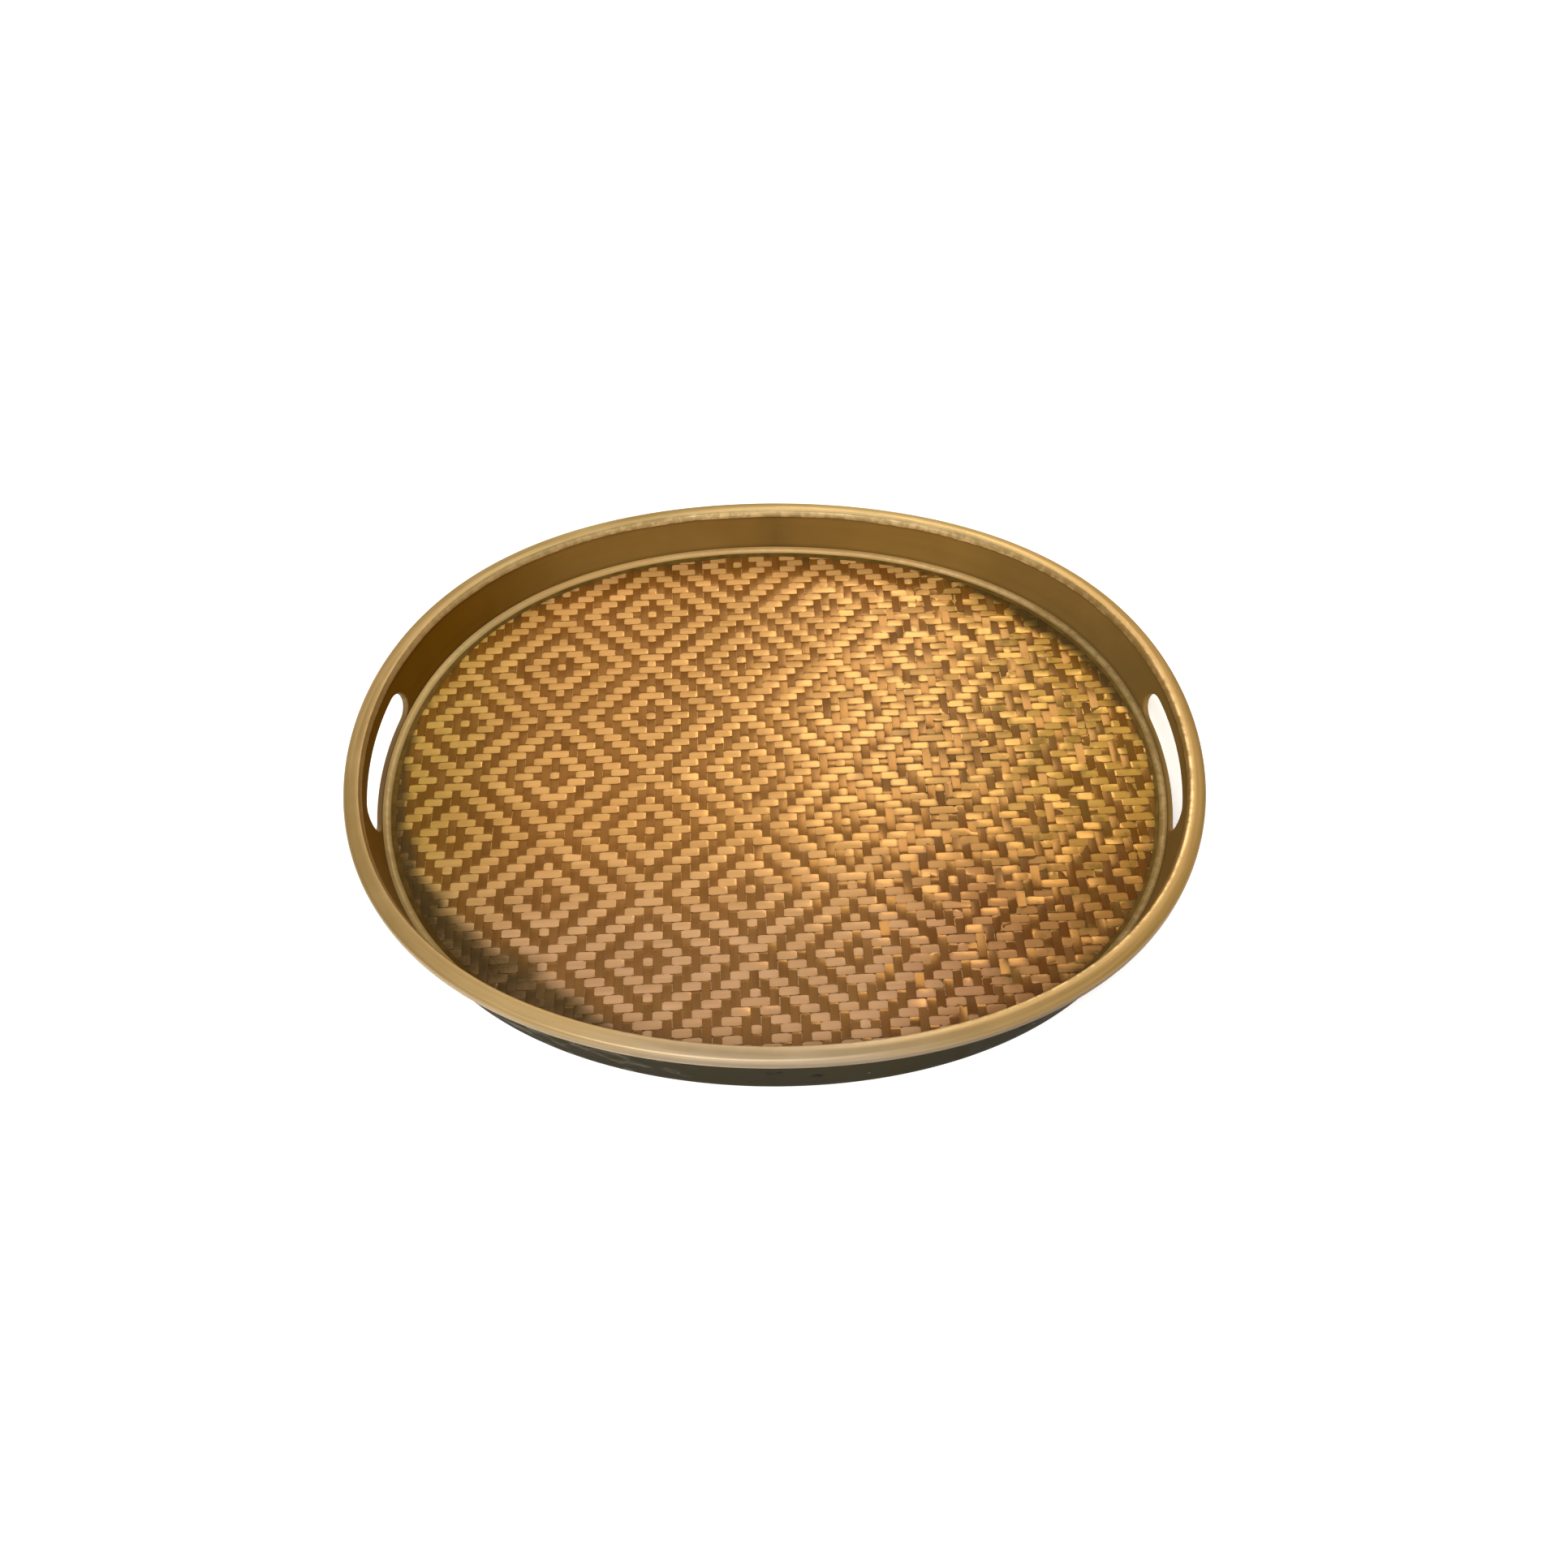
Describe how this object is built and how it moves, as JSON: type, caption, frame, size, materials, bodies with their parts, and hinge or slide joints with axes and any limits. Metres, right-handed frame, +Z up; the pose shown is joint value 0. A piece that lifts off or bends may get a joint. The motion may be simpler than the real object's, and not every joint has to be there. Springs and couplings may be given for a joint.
{
  "type": "oval serving tray",
  "caption": "Oval serving tray with a low bent wall, rounded cap rim, through-cut hand slots and a woven splint floor.",
  "frame": {"origin": "centre of the footprint, on the plane the tray rests on", "axes": "+X along the tray's length through the two hand slots, +Y across it, +Z up out of the tray"},
  "size_m": [0.48, 0.38, 0.05],
  "materials": {
    "lacquered_wall_wood": "gold-brown lacquer inside, black lacquer outside",
    "gold_rim_wood": "satin gold lacquer, worn at the edges",
    "gold_bead_wood": "satin gold lacquer",
    "dark_board_wood": "black lacquer",
    "dark_splints": "brown stained splint under clear lacquer",
    "light_splints": "golden splint under clear lacquer",
    "pin_steel": "plain steel brads"
  },
  "bodies": {
    "root": {"wall_left_half": "lacquered_wall_wood", "wall_right_half": "lacquered_wall_wood", "rim_left_half": "gold_rim_wood", "rim_right_half": "gold_rim_wood", "floor_board": "dark_board_wood", "cleat_back_half": "dark_board_wood", "cleat_front_half": "dark_board_wood", "mat_warp_splints": "dark_splints", "mat_weft_splints": "light_splints", "bead_back_half": "gold_bead_wood", "bead_front_half": "gold_bead_wood", "board_pins": "pin_steel"}
  },
  "joints": []
}
